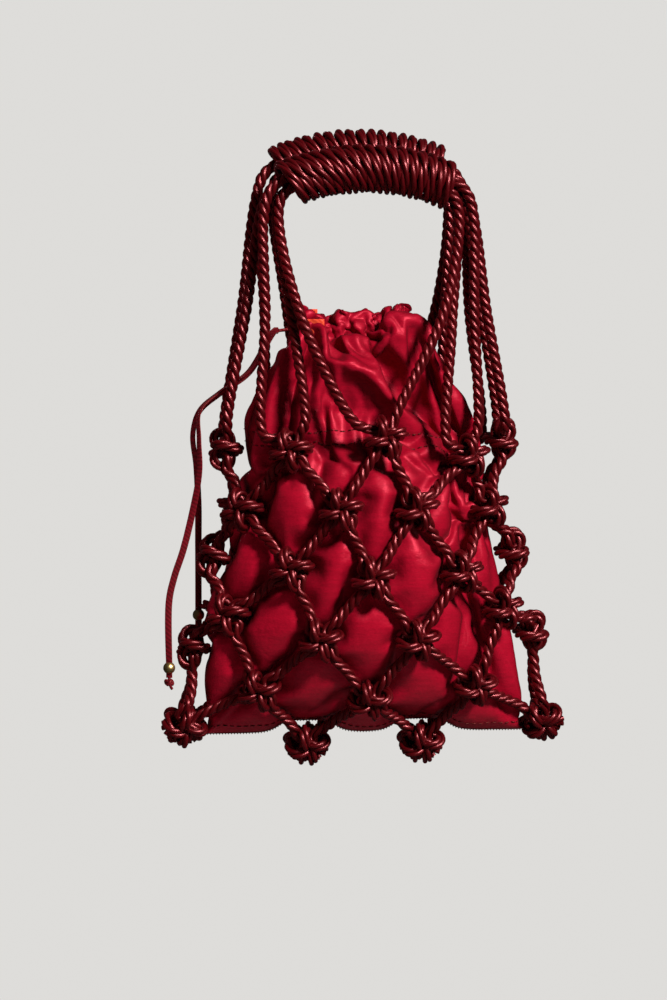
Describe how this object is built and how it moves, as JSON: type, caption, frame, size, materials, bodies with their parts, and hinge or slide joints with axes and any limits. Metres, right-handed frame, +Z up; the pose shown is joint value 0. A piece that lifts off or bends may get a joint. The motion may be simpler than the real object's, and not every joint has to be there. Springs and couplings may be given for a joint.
{
  "type": "knotted net bag",
  "caption": "Small hand-knotted net bag of lustrous laid cord with wound grips, holding a satin pouch that closes with a beaded drawstring.",
  "frame": {"origin": "under the middle of the two grips, where a hand carries them", "axes": "+Z up along the hanging bag, +X along the grips to the right as seen from the front, front face towards -Y"},
  "size_m": [0.2064, 0.1014, 0.3187],
  "materials": {
    "cord": "lustrous laid cord",
    "satin": "satin",
    "ribbon": "flat ribbon",
    "tab": "ribbon with pinked edges",
    "bead": "polished gold colour"
  },
  "bodies": {
    "bag": {"net_cord_left_leftward": "cord", "net_cord_left_rightward": "cord", "net_cord_front_left_leftward": "cord", "net_cord_front_left_rightward": "cord", "net_cord_front_leftward": "cord", "net_cord_front_rightward": "cord", "net_cord_front_right_leftward": "cord", "net_cord_front_right_rightward": "cord", "net_cord_right_leftward": "cord", "net_cord_right_rightward": "cord", "net_cord_back_right_leftward": "cord", "net_cord_back_right_rightward": "cord", "net_cord_back_leftward": "cord", "net_cord_back_rightward": "cord", "net_cord_back_left_leftward": "cord", "net_cord_back_left_rightward": "cord", "bottom_knot_left_corner": "cord", "bottom_knot_left": "cord", "bottom_knot_right": "cord", "bottom_knot_right_corner": "cord", "pouch_front_panel": "satin", "pouch_back_panel": "satin", "pouch_front_facing": "satin", "pouch_back_facing": "satin", "drawstring_loop": "ribbon", "drawstring_tail_short": "ribbon", "drawstring_tail_long": "ribbon", "stopper_knot_short": "ribbon", "stopper_knot_long": "ribbon", "exit_tab_front": "tab", "exit_tab_back": "tab"},
    "front_handle": {"front_handle_cord_side": "cord", "front_handle_cord_outer": "cord", "front_handle_cord_inner": "cord", "front_handle_cord_middle": "cord", "front_grip_winding": "cord"},
    "back_handle": {"back_handle_cord_side": "cord", "back_handle_cord_outer": "cord", "back_handle_cord_inner": "cord", "back_handle_cord_middle": "cord", "back_grip_winding": "cord"},
    "short_bead": {"bead_short": "bead"},
    "long_bead": {"bead_long": "bead"}
  },
  "joints": [
    {"name": "front_handle_fold", "type": "hinge", "parent": "bag", "child": "front_handle", "pos_m": [0, -0.033, -0.116], "axis": [1, 0, 0], "range_deg": [0, 150], "deforming": ["front_handle_cord_side", "front_handle_cord_outer", "front_handle_cord_inner", "front_handle_cord_middle"]},
    {"name": "back_handle_fold", "type": "hinge", "parent": "bag", "child": "back_handle", "pos_m": [0, 0.033, -0.116], "axis": [-1, 0, 0], "range_deg": [0, 150], "deforming": ["back_handle_cord_side", "back_handle_cord_outer", "back_handle_cord_inner", "back_handle_cord_middle"]},
    {"name": "short_bead_slide", "type": "slide", "parent": "bag", "child": "short_bead", "axis": [0, 0, 1], "range_m": [0, 0.025]},
    {"name": "long_bead_slide", "type": "slide", "parent": "bag", "child": "long_bead", "axis": [0, 0, 1], "range_m": [0, 0.025]}
  ]
}
